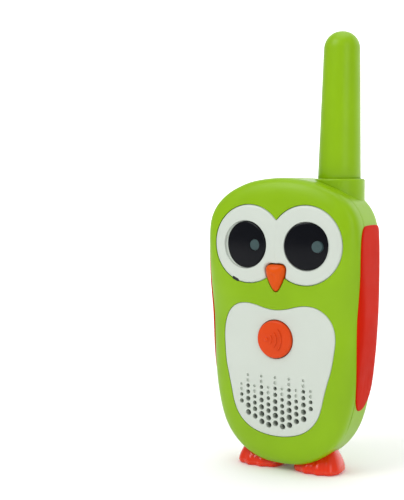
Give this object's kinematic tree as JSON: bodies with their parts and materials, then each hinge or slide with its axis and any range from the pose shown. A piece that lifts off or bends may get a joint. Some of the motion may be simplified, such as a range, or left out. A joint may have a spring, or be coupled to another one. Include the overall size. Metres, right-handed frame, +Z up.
{
  "type": "toy walkie talkie",
  "caption": "Owl-shaped children's hand-held two-way radio with round eyes, push-to-talk button, speaker grille, stub antenna, belt clip and two standing feet.",
  "frame": {"origin": "on the floor under the middle of the bounding box", "axes": "+Z up, -Y the front with the face, +X to the viewer's right when facing the front"},
  "size_m": [0.0714, 0.04, 0.18],
  "materials": {
    "green_plastic": "satin moulded plastic",
    "white_plastic": "satin moulded plastic",
    "black_gloss": "gloss",
    "lamp_lens": "translucent tinted lens",
    "orange_plastic": "satin moulded plastic",
    "grip_rubber": "soft-touch satin",
    "red_gloss": "gloss",
    "steel": "bright zinc plated",
    "black_plastic": "matt",
    "board": "satin solder mask",
    "paper_cone": "treated paper",
    "cell_jacket": "plain printed sleeve",
    "component_tan": "gloss lacquer"
  },
  "bodies": {
    "housing": {"front_shell": "green_plastic", "rear_shell": "green_plastic", "antenna": "green_plastic", "antenna_retainer": "black_plastic", "antenna_rod": "steel", "eye_mask": "white_plastic", "left_pupil": "black_gloss", "right_pupil": "black_gloss", "left_eye_lamp": "lamp_lens", "right_eye_lamp": "lamp_lens", "belly_plate": "white_plastic", "left_grip": "grip_rubber", "right_grip": "grip_rubber", "left_foot": "red_gloss", "right_foot": "red_gloss", "foot_screws": "steel", "case_screws": "steel", "speaker_gasket": "black_plastic", "speaker_frame": "steel", "speaker_cone": "paper_cone", "speaker_magnet": "steel", "speaker_screws": "steel", "microphone_boot": "black_plastic", "microphone": "steel", "circuit_board": "board", "board_screws": "steel", "talk_switch": "black_plastic", "beak_switch": "black_plastic", "radio_chip": "black_plastic", "crystal": "steel", "tuning_coils": "steel", "capacitors": "black_plastic", "resistors": "component_tan", "battery_cells": "cell_jacket", "battery_springs": "steel", "battery_contacts": "steel", "belt_clip_axle": "steel", "belt_clip_spring": "steel"},
    "talk_button": {"talk_button": "orange_plastic"},
    "talk_plunger": {"talk_switch_plunger": "black_plastic"},
    "beak_button": {"beak_button": "orange_plastic"},
    "beak_plunger": {"beak_switch_plunger": "black_plastic"},
    "battery_door": {"battery_door": "green_plastic"},
    "battery_door_screw": {"battery_door_screw": "steel"},
    "belt_clip": {"belt_clip": "green_plastic"}
  },
  "joints": [
    {"name": "talk_press", "type": "slide", "parent": "housing", "child": "talk_button", "axis": [0, 1, 0], "range_m": [0, 0.0008], "stiffness_N_per_m": 900, "springref_m": -0.0005},
    {"name": "talk_plunger_press", "type": "slide", "parent": "housing", "child": "talk_plunger", "axis": [0, 1, 0], "range_m": [0, 0.0008]},
    {"name": "beak_press", "type": "slide", "parent": "housing", "child": "beak_button", "axis": [0, 1, 0], "range_m": [0, 0.0008], "stiffness_N_per_m": 900, "springref_m": -0.0005},
    {"name": "beak_plunger_press", "type": "slide", "parent": "housing", "child": "beak_plunger", "axis": [0, 1, 0], "range_m": [0, 0.0008]},
    {"name": "battery_door_swing", "type": "hinge", "parent": "housing", "child": "battery_door", "pos_m": [0, 0.0129, 0.0145], "axis": [-1, 0, 0], "range_deg": [0, 70]},
    {"name": "battery_door_screw_turn", "type": "hinge", "parent": "battery_door", "child": "battery_door_screw", "pos_m": [0, 0.0117, 0.0696], "axis": [0, 1, 0], "continuous": true},
    {"name": "belt_clip_squeeze", "type": "hinge", "parent": "housing", "child": "belt_clip", "pos_m": [0, 0.0164, 0.104], "axis": [1, 0, 0], "range_deg": [0, 16], "stiffness_Nm_per_rad": 0.25, "springref_deg": -5.73}
  ],
  "couplings": [
    {"joint": "talk_plunger_press", "follows": "talk_press", "ratio": 1},
    {"joint": "beak_plunger_press", "follows": "beak_press", "ratio": 1}
  ]
}
